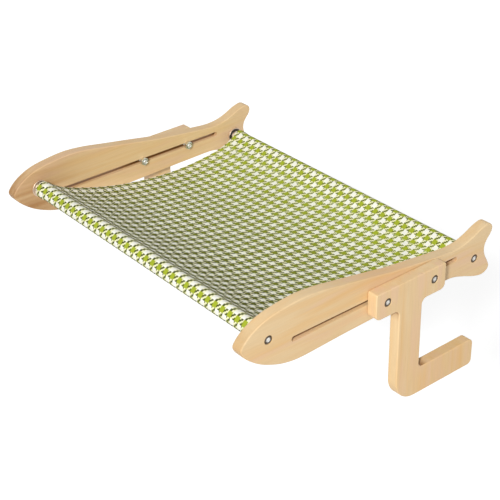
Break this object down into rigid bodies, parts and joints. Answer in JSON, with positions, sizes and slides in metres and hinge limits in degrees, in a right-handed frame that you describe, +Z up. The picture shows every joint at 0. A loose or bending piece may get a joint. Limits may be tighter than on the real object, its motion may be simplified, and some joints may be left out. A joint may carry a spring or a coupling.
{
  "type": "cat window perch",
  "caption": "Cat hammock that hangs on a window sill: fish-shaped pine rails with slots, sliding pine hooks, steel tubes and a houndstooth cloth.",
  "frame": {"origin": "midway between the two hooks, on the line where the sill's upper front edge meets the legs' rear faces and the plates' undersides", "axes": "+X along the tubes to the right rail, +Y to the window, +Z up"},
  "size_m": [0.5066, 0.3904, 0.1997],
  "materials": {
    "left_rail_pine": "sanded, clear oiled",
    "right_rail_pine": "sanded, clear oiled",
    "left_hook_pine": "sanded, clear oiled",
    "right_hook_pine": "sanded, clear oiled",
    "tube_steel": "drawn, bright",
    "plug_zinc": "zinc plated",
    "bolt_zinc": "zinc plated",
    "nut_zinc": "zinc plated",
    "houndstooth_cloth": "woven cotton, green and white houndstooth"
  },
  "bodies": {
    "frame": {"left_rail": "left_rail_pine", "right_rail": "right_rail_pine", "front_tube": "tube_steel", "rear_tube": "tube_steel", "front_left_plug": "plug_zinc", "front_right_plug": "plug_zinc", "rear_left_plug": "plug_zinc", "rear_right_plug": "plug_zinc", "front_left_bolt": "bolt_zinc", "front_right_bolt": "bolt_zinc", "rear_left_bolt": "bolt_zinc", "rear_right_bolt": "bolt_zinc", "hammock_cloth": "houndstooth_cloth"},
    "left_hook": {"left_hook": "left_hook_pine", "left_hook_front_bolt": "bolt_zinc", "left_hook_front_nut": "nut_zinc", "left_hook_rear_bolt": "bolt_zinc", "left_hook_rear_nut": "nut_zinc"},
    "right_hook": {"right_hook": "right_hook_pine", "right_hook_front_bolt": "bolt_zinc", "right_hook_front_nut": "nut_zinc", "right_hook_rear_bolt": "bolt_zinc", "right_hook_rear_nut": "nut_zinc"}
  },
  "joints": [
    {"name": "left_hook_slide", "type": "slide", "parent": "frame", "child": "left_hook", "axis": [0, 1, 0], "range_m": [-0.127, 0.05]},
    {"name": "right_hook_slide", "type": "slide", "parent": "frame", "child": "right_hook", "axis": [0, 1, 0], "range_m": [-0.127, 0.05]}
  ]
}
